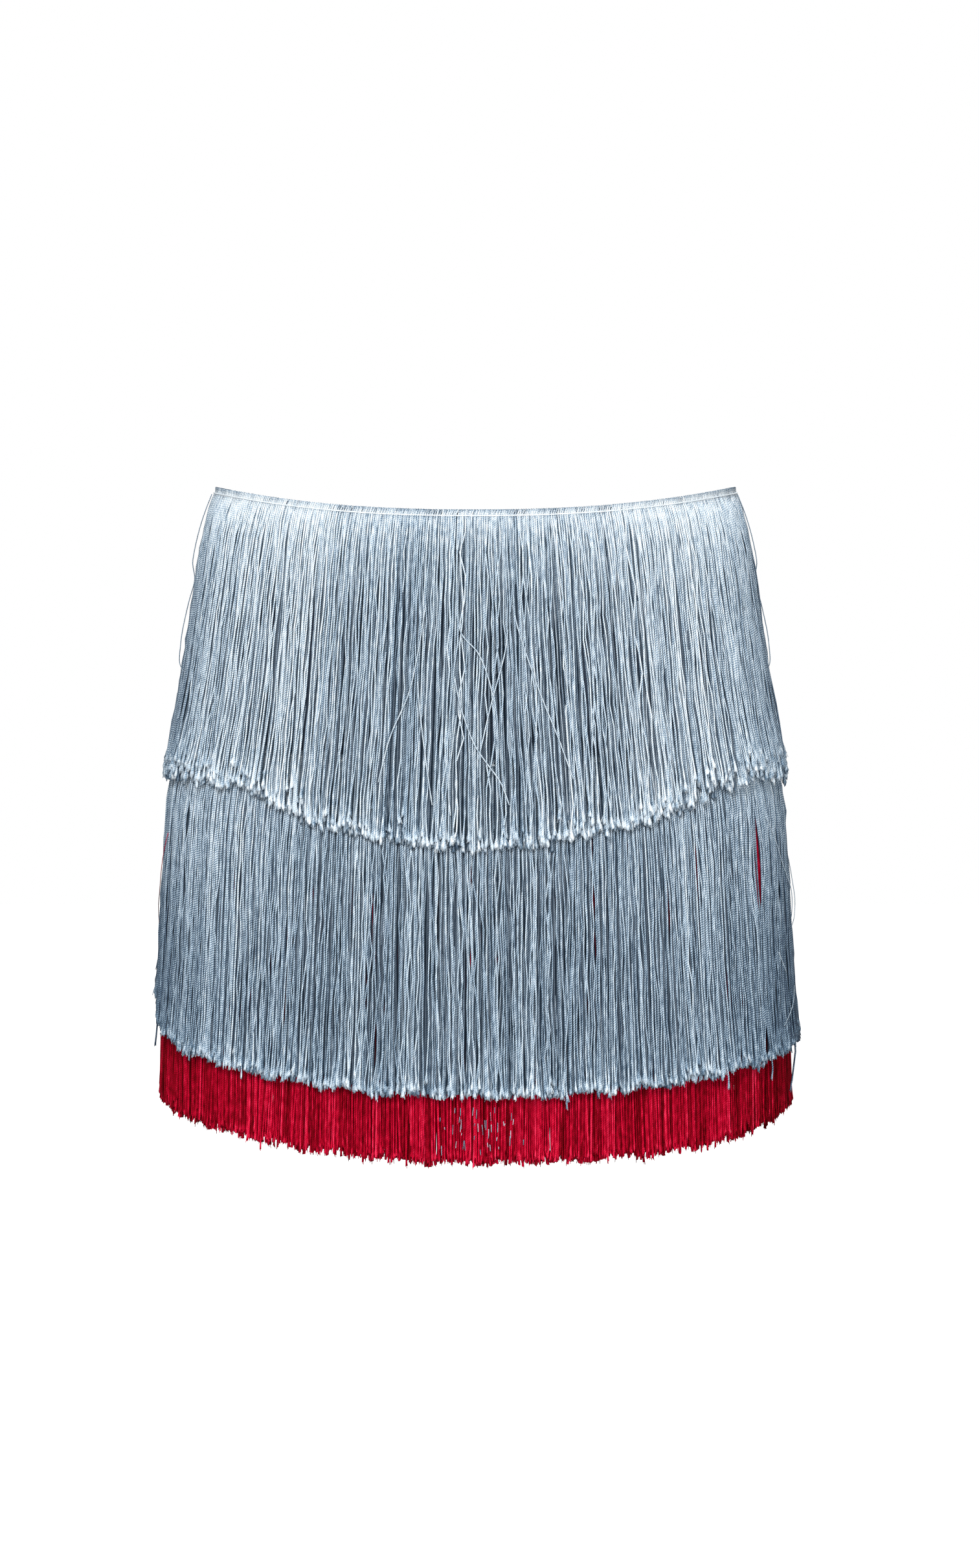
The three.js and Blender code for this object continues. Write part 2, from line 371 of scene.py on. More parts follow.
def join_tubes(name, parts, material):
    """One object from several sets of tubes."""
    points = np.concatenate([part["points"] for part in parts])
    faces, corners, start, first_cell = [], [], 0, 0
    for part in parts:
        faces += (part["walls"] + start).tolist() + (part["ends"] + start).tolist()
        cell = part["cell"] + (first_cell if part["cells"] else 0)
        corners.append(np.stack([part["round"], part["length"], part["share"], cell], -1))
        start += len(part["points"])
        first_cell += part["cells"]
    around, length, share, cell = np.concatenate(corners).T
    piece = new_piece(name, points, faces, material)
    yarn = np.stack([around, length], -1)
    strips = lay_cells(cell.astype(int), first_cell, around, share)
    for map_name, uv in (("Yarn", yarn), ("OFBake", strips)):
        layer = piece.data.uv_layers.new(name=map_name)
        layer.data.foreach_set("uv", uv.astype(np.float32).ravel())
    for mark in MARKS:
        values = np.concatenate([part[mark] for part in parts]).astype(np.float32)
        piece.data.attributes.new(mark, "FLOAT", "POINT").data.foreach_set("value", values)
    triangles = sum(len(face) - 2 for face in faces)
    print(f"{name}: {first_cell} strands, {triangles} triangles")
    return piece


# %% [markdown]
# ## Yarn
# The fringe is a fine cord of two twisted plies, one nearly white and one blue, or both red. Seen close by,
# the plies make a slanting ladder of light and dark with a step every 1.4 mm. The twist is a node group that
# turns the yarn map into ridges, so the blue, the red and the white thread can share it with other colours.
# It is too fine to be modelled on every strand, so it is colour and bump on a modelled tube.

# %% Sums, colours and groups of nodes
def sums(tree, operation, a, b=0.0, c=0.0, clamp=False):
    node = add_node(tree, "ShaderNodeMath", {0: a, 1: b, 2: c}, operation=operation, use_clamp=clamp)
    return node.outputs[0]


def blend_colours(tree, factor, a, b):
    return add_node(tree, "ShaderNodeMix", {0: factor, 6: a, 7: b}, data_type="RGBA").outputs[2]


def new_group(name, inputs, outputs):
    """An empty node group of numbers, whose inputs have defaults."""
    group = bpy.data.node_groups.new(name, "ShaderNodeTree")
    for label, default in inputs.items():
        socket = group.interface.new_socket(label, in_out="INPUT", socket_type="NodeSocketFloat")
        socket.default_value = default
    for label in outputs:
        group.interface.new_socket(label, in_out="OUTPUT", socket_type="NodeSocketFloat")
    given = group.nodes.new("NodeGroupInput").outputs
    return group, given, group.nodes.new("NodeGroupOutput")


# %% The twist
TWIST_PERIOD = 1.38


def make_twist():
    inputs = {"Period": TWIST_PERIOD, "Fibre Size": 5.0}
    group, given, result = new_group("twisted_yarn", inputs, ("Crest", "Fibre", "Height", "Flank"))
    yarn = add_node(group, "ShaderNodeUVMap", uv_map="Yarn")
    axes = add_node(group, "ShaderNodeSeparateXYZ", {"Vector": yarn.outputs["UV"]}).outputs
    facing = sums(group, "COSINE", sums(group, "MULTIPLY", axes["X"], 2 * math.pi))
    # How far round from the outer ridge a point lies, for the painted shade on the sides of the strand.
    flank = sums(group, "MULTIPLY_ADD", facing, -0.5, 0.5)
    climb = sums(group, "DIVIDE", axes["Y"], given["Period"])
    phase = sums(group, "MULTIPLY_ADD", axes["X"], -2.0, climb)
    wave = sums(group, "COSINE", sums(group, "MULTIPLY", phase, 2 * math.pi))
    crest = sums(group, "MULTIPLY_ADD", wave, 0.5, 0.5)
    stretch = add_node(group, "ShaderNodeCombineXYZ", {"X": phase, "Y": axes["Y"]})
    noise = {"Vector": stretch.outputs[0], "Scale": given["Fibre Size"], "Detail": 1.0}
    fibre = add_node(group, "ShaderNodeTexNoise", noise).outputs["Fac"]
    height = sums(group, "MULTIPLY_ADD", fibre, 0.25, crest)
    fill(result, {"Crest": crest, "Fibre": fibre, "Height": height, "Flank": flank})
    return group


TWIST = make_twist()

# %% [markdown]
# ## Colour of the strands
# A strand is not one blue. Some strands are nearly white, some are mid blue, and those that lie deeper are
# painted darker, as painted shade, because little light reaches them. The sides of each strand, where it
# meets its neighbours, get painted shade too. The frayed tips are the palest.
# A second node group puts these together from the three numbers that each point carries, so the same group
# serves the blue and the red yarn with other colours on the ramp.

# %% Shade along and between strands
PATCH_SHAPE = (1, 1, 0.3)
PATCH_SCALE = 650.0


def make_shade():
    inputs = {"Crest": 0.5, "Fibre": 0.5, "Flank": 0.0, "Twist Contrast": 0.4, "Flank Painted Shade": 0.3, "Tip": 0.3}
    group, given, result = new_group("strand_shade", inputs, ("Shade", "Painted Shade Mask"))
    read = [add_node(group, "ShaderNodeAttribute", attribute_name=mark) for mark in MARKS]
    tone, deep, fray = (node.outputs["Fac"] for node in read)
    where = add_node(group, "ShaderNodeTexCoord").outputs["Object"]
    drawn = add_node(group, "ShaderNodeVectorMath", {0: where, 1: PATCH_SHAPE}, operation="MULTIPLY")
    noise = {"Vector": drawn.outputs[0], "Scale": PATCH_SCALE, "Detail": 1.0}
    patches = add_node(group, "ShaderNodeTexNoise", noise).outputs["Fac"]
    whole = sums(group, "SUBTRACT", 1.0, fray)
    contrast = sums(group, "MULTIPLY", whole, given["Twist Contrast"])
    twist = sums(group, "MULTIPLY", sums(group, "SUBTRACT", given["Crest"], 0.5), contrast)
    fleck = sums(group, "MULTIPLY_ADD", sums(group, "SUBTRACT", given["Fibre"], 0.5), 0.35, twist)
    crinkle = sums(group, "MULTIPLY_ADD", fray, 0.7, 0.6)
    patch = sums(group, "MULTIPLY_ADD", sums(group, "SUBTRACT", patches, 0.5), crinkle, fleck)
    # Painted shade on the sides and back of each strand, where it meets its neighbours.
    shaded = sums(group, "MULTIPLY", given["Flank"], given["Flank Painted Shade"])
    level = sums(group, "SUBTRACT", sums(group, "ADD", tone, patch), shaded)
    tipped = sums(group, "MULTIPLY_ADD", fray, given["Tip"], level, clamp=True)
    # Painted shade on strands that lie deep, half as strong on their frayed tips.
    covered = sums(group, "MULTIPLY", deep, sums(group, "MULTIPLY_ADD", fray, -0.5, 1.0))
    fill(result, {"Shade": tipped, "Painted Shade Mask": covered})
    return group


SHADE = make_shade()

# %% Yarn materials
BLUE_STOPS = table(
    "at colour",
    (0.0, (0.014, 0.032, 0.062)),
    (0.3, (0.106, 0.182, 0.264)),
    (0.6, (0.404, 0.496, 0.580)),
    (1.0, (0.800, 0.850, 0.880)),
)
RED_STOPS = table(
    "at colour",
    (0.0, (0.050, 0.0002, 0.001)),
    (0.35, (0.170, 0.0005, 0.005)),
    (0.7, (0.460, 0.002, 0.024)),
    (1.0, (0.760, 0.030, 0.090)),
)


def yarn_material(name, stops, deep, twist, flank, tip, roughness, shine):
    """A yarn with its colours from dark to pale in `stops`, and the colour of the painted shade on what lies
    deep.
    """
    material, tree, principled = new_material(name)
    yarn = add_node(tree, "ShaderNodeGroup", node_tree=TWIST).outputs
    shade = add_node(tree, "ShaderNodeGroup", node_tree=SHADE)
    fill(shade, {name: yarn[name] for name in ("Crest", "Fibre", "Flank")})
    fill(shade, {"Flank Painted Shade": flank, "Twist Contrast": twist, "Tip": tip})
    ramp = add_node(tree, "ShaderNodeValToRGB", {"Fac": shade.outputs["Shade"]})
    elements = ramp.color_ramp.elements
    for row in stops[1:-1]:
        elements.new(row["at"])
    for element, row in zip(elements, stops, strict=True):
        element.position = row["at"]
        element.color = (*row["colour"], 1)
    # Painted shade: the colour is mixed towards a dark one where the strand lies deep.
    colour = blend_colours(tree, shade.outputs["Painted Shade Mask"], ramp.outputs["Color"], (*deep, 1))
    bump = add_node(tree, "ShaderNodeBump", {"Height": yarn["Height"], "Strength": 0.6, "Distance": 0.0002})
    fill(principled, {"Base Color": colour, "Normal": bump.outputs["Normal"]})
    fill(principled, {"Roughness": roughness, "Specular IOR Level": shine})
    return material


# Each look gives the colour of the painted shade on deep strands, and how much painted shade the sides of its
# strands get.
LOOK_COLUMNS = "name stops deep twist flank tip roughness shine"
LOOKS = table(
    LOOK_COLUMNS,
    ("blue_yarn", BLUE_STOPS, (0.012, 0.024, 0.042), 0.55, 0.4, 0.2, 0.45, 0.4),
    ("red_yarn", RED_STOPS, (0.06, 0.0003, 0.002), 0.25, 0.4, 0.05, 0.5, 0.02),
    ("white_thread", BLUE_STOPS, (0.1, 0.14, 0.2), 0.3, 0.2, 0.0, 0.5, 0.3),
)
blue_yarn, red_yarn, white_thread = (yarn_material(**look) for look in LOOKS)

# %% [markdown]
# ## How a fringe hangs
# Every strand is caught in a narrow heading, bulges out just below it and hangs down over what is under it.
# Strands are never parallel for long: they lean, bow, and gather in bunches with partings between. They could
# be combed by hand as hair curves. Here long and short waves move neighbours alike, partings push them away
# from a line, and each strand has a small lean and bow of its own, so a few numbers change the whole skirt.
#
# The yarn changes on its way down. Under the heading it is pulled tight and its strands look alike, until
# they have settled. Near the end the plies come loose, and the cut end is brushed out into a tuft.

# %% Heading and ends
HEADING = 3.0
HEADING_SLANT = 1.1
HEADING_NARROW = 0.66
HEADING_TONES = (-0.12, 0.32)
HEADING_FRAY = 0.3
SETTLED = 55
UNTWISTED = 26
UNTWISTED_FRAY = 0.45
SEEN_HEAD = (-0.3, 1.1, 2.4, 3.5, 6.5, 13, 25)
HIDDEN_HEAD = (-0.3, 2.0, 3.7, 9)
TAIL_STATIONS = (6.5, 4.0, 1.4, 0.0)
TUFT_SHAPE = (0.0, 0.4, 1.0, 0.45)

# %% [markdown]
# ## One table for each trim
# Sizes are in millimetres and turns in degrees. Rows of turn, spread and more are smooth humps round the
# skirt: they make a hem dip or rise, more strands end short, or a place paler or darker with painted light
# and shade. The table by drop paints light and shade down a trim. A parting is widest at a share of the
# strands' length. A slit is a parting that every strand is pushed out of, so that red shows. It lies round
# the side, where the eye meets the fringe aslant, so skew shifts it in the deeper layers until the three line
# up from the front. Rows of painted light make the red strands right behind a slit paler, where they lie in
# the shade of the blue. The sides get painted light above and painted shade below, and even_tips keeps the
# tufts from following the painted light and shade of their place. lie says how far the middle of a strand
# stands off the cloth at each drop. PLAIN holds what a trim has where its own table says nothing else.

# %% Top trim
PLAIN = {"even_tips": 0.0, "side_painted_light": 0.0, "lit": [], "long": [], "slits": [], "loose": 1.0}
PLAIN |= {"radius": 0.56, "mixed": 0.085, "head": HIDDEN_HEAD}
TOP = PLAIN | {
    "node": "fringe_top",
    "at": 0,
    "seed": 11,
    "ragged": 1.8,
    "flare": (0.9, 2.0),
    "jag": 1.3,
    "even_tips": 0.4,
    # Painted light on the sides above and painted shade below.
    "side_painted_light": 0.2,
    "tip": 173,
    "tip_rows": table(
        "turn spread more",
        (1, 40, 23), (-47, 12, -7.5), (58, 15, -4.5), (90, 14, 2), (180, 60, 17),
    ),
    "partings": table(
        "turn share span open reach",
        (-44.7, 0.0, 0.2, 0.55, 4), (44.7, 0.0, 0.2, 0.55, 4), (3, 0.75, 0.25, 1.3, 8),
    ),
    "short": {
        "share": 0.25,
        "most": 14,
        "rows": table("turn spread more", (19, 5, 0.5), (-70, 20, 0.2), (68, 22, 0.2)),
    },
    "crossing": {"share": 0.12, "lean": 8.5},
    "lie": table(
        "drop centre",
        (0, 1.5), (3.6, 1.3), (9, 2.7), (30, 3.3), (107, 3.6), (130, 4.5), (150, 6.0), (167, 8.0),
        (205, 9.2),
    ),
    "head": SEEN_HEAD,
    "tone": 0.54,
    # Painted light near the waist edge, then painted light and shade in humps round the skirt.
    "pale": table("drop more", (0, 0.13), (5, 0.13), (17, 0.08), (29, 0.04), (41, 0.02), (60, 0.0)),
    "pale_rows": table(
        "turn spread more",
        (-90, 13, -0.15), (-50, 32, 0.15), (-12, 9, -0.07), (45, 28, 0.16), (90, 15, -0.12),
    ),
}

# %% Middle trim
MIDDLE = PLAIN | {
    "node": "fringe_middle",
    "at": 146,
    "seed": 12,
    "ragged": 1.3,
    "flare": (0.6, 1.5),
    "jag": 0.9,
    # Painted light on the sides above and painted shade below.
    "side_painted_light": 0.4,
    "tip": 341,
    "tip_rows": table(
        "turn spread more",
        (-45, 25, -4), (-88, 24, -14), (-91, 12, -26), (88, 12, -6), (180, 70, 5.5),
    ),
    "long": table("turn more", (-77, 26), (-60, 6), (-44.5, 7), (15.4, 7), (48, 8), (63.4, 12), (77.5, 30)),
    "slits": table(
        "turn share span open reach clear skew",
        (62.6, 0.395, 0.13, 4.0, 14, 3.4, 1.5), (61.6, 0.945, 0.05, 2.0, 7, 2.5, 1.4),
    ),
    "partings": table(
        "turn share span open reach",
        (66.0, 0.68, 0.12, 0.9, 6), (-15, 1.0, 0.1, 1.4, 6), (-5.5, 0.72, 0.08, 1.1, 5),
    ),
    "short": {"share": 0.08, "most": 8, "rows": []},
    "crossing": {"share": 0.015, "lean": 4.5},
    "lie": table(
        "drop centre",
        (146, 1.5), (149.6, 1.3), (155, 2.3), (170, 2.8), (190, 5.1), (230, 6.3), (285, 6.9),
        (320, 7.9), (347, 9.2), (366, 6.4), (390, 5.8),
    ),
    "tone": 0.52,
    # Painted shade low down, then painted light and shade in humps round the skirt.
    "pale": table(
        "drop more",
        (146, 0.0), (225, 0.0), (262, -0.03), (290, -0.05), (315, -0.04), (335, -0.05),
    ),
    "pale_rows": table(
        "turn spread more",
        (-90, 14, -0.1), (-60, 13, 0.04), (-33, 12, -0.03), (30, 14, -0.04), (88, 18, -0.19),
    ),
}

# %% Red trim
RED_GAPS = ((-7, 0.93), (-4.4, 0.84), (-3.4, 0.88), (-1, 0.93), (1.5, 0.86), (4, 0.91), (13, 0.95))
RED = PLAIN | {
    "node": "fringe_red",
    "at": 190,
    "seed": 13,
    "radius": 0.6,
    "ragged": 1.6,
    "flare": (0.0, 0.3),
    "jag": 0.6,
    # Painted light on the red right behind the slits, where it lies in the shade of the blue strands.
    "lit": table("turn spread more drop reach", (62, 4, 0.95, 225, 40), (62, 3, 0.7, 326, 12)),
    "loose": 0.4,
    "tip": 375,
    "tip_rows": table("turn spread more", (12, 60, 5), (50, 25, 4.5), (-91, 11, -6)),
    "partings": [dict(turn=turn, share=share, span=0.03, open=1.5, reach=3) for turn, share in RED_GAPS],
    "short": {"share": 0.1, "most": 6, "rows": []},
    "crossing": {"share": 0.01, "lean": 4},
    "lie": table("drop centre", (190, 1.5), (193.6, 1.3), (199, 2.2), (215, 2.8), (390, 3.1)),
    "mixed": 0.15,
    "tone": 0.57,
    # Painted light low down, then painted shade in humps at the sides.
    "pale": table("drop more", (190, 0.0), (345, 0.0), (390, 0.06)),
    "pale_rows": table("turn spread more", (-80, 35, -0.09), (72, 30, -0.18)),
}

# %% Waves and wobbles
WAVES = table("length sway power", (150, 2.2, 1.3), (58, 1.0, 1.1), (27, 0.5, 1.0), (12, 0.22, 0.8))
WOBBLES = table("shortest longest sway", (40, 80, 0.42), (26, 40, 0.22))
WOBBLE_START = 20


def turn_between(start, end):
    return (end - start + 180) % 360 - 180


def humps(rows, turn):
    """The sum of smooth humps round the skirt, from rows of turn, spread and height."""
    total = np.zeros(np.shape(turn))
    for row in rows:
        total += row["more"] * np.exp(-((turn_between(row["turn"], turn) / row["spread"]) ** 2))
    return total


def wave_sway(rng, way, girth, share):
    """How far the strands at `way` mm round the heading sway at each share of their length, in mm."""
    sway = np.zeros(share.shape)
    for row in WAVES:
        count = round(girth / row["length"])
        phase, drift = rng.uniform(0, 2 * math.pi), rng.uniform(-1.5, 1.5)
        angle = 2 * math.pi * count * way / girth + phase + drift * share
        sway += row["sway"] * share ** row["power"] * np.sin(angle)
    return sway


def wobble(rng, below):
    """Each strand's own slight waviness, at distances below the heading in mm."""
    sway = np.zeros(below.shape)
    for row in WOBBLES:
        length = rng.uniform(row["shortest"], row["longest"], (len(below), 1))
        size = row["sway"] * rng.normal(0, 1, (len(below), 1))
        sway += size * np.sin(2 * math.pi * (below / length + rng.uniform(0, 1, (len(below), 1))))
    return sway * np.clip(below / WOBBLE_START, 0, 1)


# %% Partings and slits
EDGE_SHARPNESS = 5
CHANCE_PARTINGS = 170
CHANCE_OPEN = 1.2


def bell_of(row, share):
    return np.exp(-(((share - row["share"]) / row["span"]) ** 2))


def part_at(row, way, line, girth, share):
    """Strands on both sides of a line stand away from it over part of the length."""
    slant = row.get("slant", 0) * (share - row["share"])
    away = ((way - line - slant + girth / 2) % girth - girth / 2) / row["reach"]
    return row["open"] * np.tanh(away * EDGE_SHARPNESS) * np.exp(-away * away) * bell_of(row, share)


def clear_at(row, way, sway, line, share, thicker):
    """How much further strands must go so that none of them hangs in a slit."""
    side = np.sign(way - line)
    bell = bell_of(row, share)
    short = np.maximum(0, (row["clear"] + thicker) * bell - side * (way + sway - line))
    return side * short * np.minimum(1, 4 * bell) * (np.abs(way - line) < 3 * row["reach"])


def chance_partings(rng, way, girth, share):
    """Partings in chance places all round."""
    sway = np.zeros(share.shape)
    for _ in range(CHANCE_PARTINGS):
        row = {"share": rng.uniform(0.25, 1.0), "span": rng.uniform(0.12, 0.35)}
        row |= {"open": rng.uniform(0.3, 1) * CHANCE_OPEN, "reach": rng.uniform(3.5, 9)}
        row |= {"slant": rng.normal(0, 3)}
        sway += part_at(row, way, rng.uniform(0, girth), girth, share)
    return sway


# %% Roots and tips
ROOT_JITTER = 0.15
LUMPS_ROUND = 31


def roots_of(trim, rng, pitch):
    """The way round a heading in mm, and the place on it and the turn where each strand starts."""
    girth = even_turns(1, trim["at"])[1]
    count = round(girth / pitch)
    even = np.arange(count) + 0.5
    way = (even + rng.uniform(-ROOT_JITTER, ROOT_JITTER, count)) / count * girth
    return girth, way, np.interp(way, even / count * girth, even_turns(count, trim["at"])[0])


def tips_of(trim, rng, girth, way, roots, side):
    """The drop where each strand ends. Ends are ragged, in lumps, and some strands are cut short."""
    count, short = len(way), trim["short"]
    lumps = np.sin(way / girth * 2 * math.pi * LUMPS_ROUND + rng.uniform(0, 6)) * rng.uniform(0.3, 1)
    tips = trim["tip"] + humps(trim["tip_rows"], roots) + trim["ragged"] * (rng.normal(0, 1, count) + lumps)
    chance = short["share"] * (0.4 + 1.8 * side) + humps(short["rows"], roots)
    cut_short = rng.random(count) < chance
    return tips - cut_short * rng.uniform(0.1, 1, count) ** 1.5 * short["most"]


def stations_of(trim, length, body_count):
    """Distances from the heading's top edge for strands of these lengths: close at both ends."""
    head = np.broadcast_to(trim["head"], (len(length), len(trim["head"])))
    tail = length[:, None] - np.array(TAIL_STATIONS)
    share = (np.arange(body_count) + 1) / (body_count + 1)
    body = head[:, -1:] + (tail[:, :1] - head[:, -1:]) * share
    return np.concatenate([head, body, tail], 1)


# %% Sway and tone
MIDDLE_SPREAD = 38
OWN_LEAN = 0.9
OWN_BOW = 0.4
# Painted shade at the far sides of the skirt.
SIDE_PAINTED_SHADE = 0.14


def sway_of(trim, rng, row, girth, way, roots, share, below):
    """How far each point sways sideways in mm, and which strands cross over their neighbours."""
    way = way[:, None]
    middle = np.exp(-((np.minimum(np.abs(roots), 180 - np.abs(roots)) / MIDDLE_SPREAD) ** 2))
    loose = trim["loose"] * row["loose"] * (0.5 + 0.6 * middle[:, None])
    sway = wave_sway(rng, way, girth, share) + loose * chance_partings(rng, way, girth, share)
    places = trim["slits"] + trim["partings"]
    lines = [np.interp(one["turn"], roots, way[:, 0]) - row["lift"] * one.get("skew", 0) for one in places]
    for parting, line in zip(places, lines):
        sway += part_at(parting, way, line, girth, share)
    own = rng.normal(0, 1, (2, len(way), 1))
    sway += loose * (OWN_LEAN * own[0] * share**0.7 + OWN_BOW * own[1] * np.sin(math.pi * share))
    sway += (0.3 + loose) * wobble(rng, below)
    for slit, line in zip(trim["slits"], lines):
        sway += clear_at(slit, way, sway, line, share, row["width"] - 1)
    crosses = rng.random(len(way)) < trim["crossing"]["share"] * (0.25 + middle)
    lean = np.where(crosses, rng.normal(0, trim["crossing"]["lean"], len(way)), 0)[:, None]
    sway += lean * share**1.3 + HEADING_SLANT * np.clip(1 - below / HEADING, 0, 1.1)
    return sway, crosses


def tone_of(trim, rng, row, roots, side, drop, share, settled, tail):
    """How pale each point is: by strand, in the heading, and with painted light and shade by its place and
    right behind a slit.
    """
    below = drop - trim["at"]
    own = row["tone"] + rng.normal(0, trim["mixed"], (len(roots), 1))
    tone = trim["tone"] + own * (0.5 + 0.5 * settled)
    tone += (below < HEADING) * np.interp(below, (0, HEADING), HEADING_TONES)
    # Painted light and shade: by drop, in humps round the skirt, on the sides, and on the red right behind a
    # slit.
    by_place = curve_through(trim["pale"], "more")(drop) + humps(trim["pale_rows"], roots)[:, None]
    by_place += trim["side_painted_light"] * side[:, None] ** 2 * (0.5 - share) - SIDE_PAINTED_SHADE * side[:, None] ** 5
    for lit in trim["lit"]:
        near = np.exp(-(((drop - lit["drop"]) / lit["reach"]) ** 2))
        by_place += humps([lit], roots)[:, None] * near
    return tone + by_place * (1 - trim["even_tips"] * tail)


# %% Hanging one layer of strands
PUFF = 0.3
CROSSING_LIFT = 0.9
LIFT_START = 9


def hang_layer(trim, rng, row):
    """One layer of a trim: the paths and widths of its strands, and what their points carry."""
    lift, top = row["lift"], trim["at"]
    girth, way, roots = roots_of(trim, rng, row["pitch"])
    count = len(way)
    side = np.abs(np.sin(np.radians(roots))) ** 2
    tips = tips_of(trim, rng, girth, way, roots, side)
    flare = rng.uniform(*trim["flare"], (count, 1))
    for odd in trim["long"] if lift == 0 else []:
        nearest = np.abs(turn_between(odd["turn"], roots)).argmin()
        tips[nearest] += odd["more"]
        flare[nearest] = 0
    drop = top + stations_of(trim, tips - top, row["body"])
    below = drop - top
    share = (below / (tips - top)[:, None]).clip(0, 1)
    sway, crosses = sway_of(trim, rng, row, girth, way, roots, share, below)
    turn = roots[:, None] + sway / mm_per_degree(roots[:, None], drop)
    puff = rng.normal(0, PUFF, (count, 1)) * np.sin(math.pi * share) + wobble(rng, below)
    puff += (crosses[:, None] & (lift == 0)) * CROSSING_LIFT * np.minimum(1, share * 4)
    out = curve_through(trim["lie"], "centre")(drop) + lift * np.minimum(1, share * LIFT_START) + puff
    settled = np.clip(below / SETTLED, 0, 1)
    above_tip = (1 - share) * (tips - top)[:, None]
    tail = np.clip(1 - above_tip / TAIL_STATIONS[0], 0, 1)
    tail = np.maximum(tail, UNTWISTED_FRAY * np.clip(1 - above_tip / UNTWISTED, 0, 1))
    tail = np.maximum(tail, HEADING_FRAY * (1 - settled))
    radius = np.full(share.shape, trim["radius"] * row["width"]) * rng.uniform(0.9, 1.1, (count, 1))
    radius[:, -len(TUFT_SHAPE) :] *= 1 + flare / row["width"] ** 3 * np.array(TUFT_SHAPE)
    radius *= np.where(below < HEADING, HEADING_NARROW, 1)
    tone = tone_of(trim, rng, row, roots, side, drop, share, settled, tail)
    return {
        "path": place(turn, drop, out),
        "away": outward(turn, drop),
        "radius": radius,
        "turn": roots,
        "start": rng.uniform(0, TWIST_PERIOD, (count, 1)),
        "wide": rng.uniform(0.7, 1.35, (count, SIDES)),
        "long": rng.uniform(-1, 1, (count, SIDES)) * trim["jag"],
        # Painted shade on the layers behind, half as much close under the heading.
        "marks": {"tone": tone, "deep": row["deep"] * (0.5 + 0.5 * settled), "fray": tail},
    }


# %% Frayed ends
FILAMENT_RADIUS = (0.36, 0.2)
SPLAY = 0.9
PROUD = (0.3, 0.5)
CLOSE_AT_START = 0.3
FILAMENT_TONES = 0.15


def fray(layer, rng, many, longest):
    """Fibres that splay out of every brushed tip, `many` on each and up to `longest` mm past it."""
    end, above = layer["path"][:, -1], layer["path"][:, -3]
    count = len(end)
    down = unit(end - above)[:, None]
    away = layer["away"][:, -1][:, None]
    across = unit(np.cross(away, down))
    wide = layer["radius"][:, -1][:, None, None] * MM
    sideways = across * rng.normal(0, SPLAY, (count, many, 1)) * wide
    proud = away * rng.normal(*PROUD, (count, many, 1)) * wide
    further = down * rng.uniform(-0.6, 1, (count, many, 1)) * longest * MM
    start = above[:, None] + CLOSE_AT_START * sideways + CLOSE_AT_START * proud
    path = np.stack([start, end[:, None] + sideways + proud + further], 2).reshape(-1, 2, 3)
    tone = layer["marks"]["tone"][:, -1:] + rng.normal(0, FILAMENT_TONES, (count, many))
    # The fibres keep the painted shade of their strand's end.
    deep = np.repeat(layer["marks"]["deep"][:, -1:], many, 0)
    marks = {"tone": tone.reshape(-1, 1), "deep": deep, "fray": 1.0}
    cell = np.repeat(np.arange(count), many)
    away = np.repeat(layer["away"][:, -2:], many, 0)
    return tubes(path, away, np.array(FILAMENT_RADIUS), marks, sides=3, cell=cell)


# %% [markdown]
# ## Loose threads
# A few threads have worked loose. Two hang in long loops out past the sides, some lie aslant over the top
# trim, and thin single fibres stray over the middle one. Each is placed through listed points of turn, drop
# and how far out, because its own line is what the eye follows.

# %% Loose threads
STEPS_BETWEEN = 6
LEFT_LOOPS = [
    (-84, 4, 3.6), (-88, 22, 6.0), (-90, 44, 7.6), (-90, 57, 4.8), (-90, 71, 6.5), (-90, 90, 7.8),
    (-89, 100, 7.4), (-86, 107, 6.6), (-80, 112, 4.6),
]
RIGHT_LOOPS = [(-turn, drop, out - 1) for turn, drop, out in LEFT_LOOPS]
OVERLYING = [
    [(-9.6, 55, 3.2), (-10.0, 66, 5.0), (-12, 104, 5.1), (-15.5, 134, 6.6), (-17.2, 160, 8.8)],
    [(-3.6, 60, 3.2), (-2.6, 72, 5.0), (0.7, 84, 5.2), (2.4, 97, 5.0), (4.0, 118, 4.6)],
    [(-3.8, 98, 3.4), (-3.0, 110, 5.3), (-0.2, 136, 6.7), (4.7, 160, 8.8), (6.0, 172, 9.4)],
    [(7.4, 56, 3.2), (8.0, 66, 5.0), (11.9, 105, 5.2), (15.1, 133, 6.6), (17.6, 158, 8.4)],
    [(-10.9, 96, 3.4), (-10.5, 108, 5.2), (-8.9, 143, 7.2), (-7.4, 172, 9.6)],
    [(6.4, 70, 3.2), (5.8, 82, 5.0), (2.8, 116, 5.4), (0.6, 146, 7.0)],
    [(-3.4, 120, 3.8), (-3.8, 132, 6.4), (-4.6, 162, 9.0), (-4.2, 178, 9.8)],
]
SINGLE_FIBRES = [
    [(86, 226, 7.0), (88, 241, 9.0), (88, 254, 10.2), (88, 264, 9.4), (85, 270, 7.4)],
    [(66, 196, 7), (69.5, 207, 7.3), (75.6, 229, 7.6), (84.4, 250, 8.6), (86, 262, 7.8), (83, 269, 6.2)],
    [(80.5, 305, 8.4), (76, 315, 9.4), (69.8, 325, 9.0)],
    [(69.5, 280, 7.9), (73.4, 294, 8.3)],
]
RED_LOOP = [(-77, 210, 7.3), (-84, 232, 7.9), (-88, 250, 8.4), (-89, 258, 8.8), (-86, 268, 7.6)]
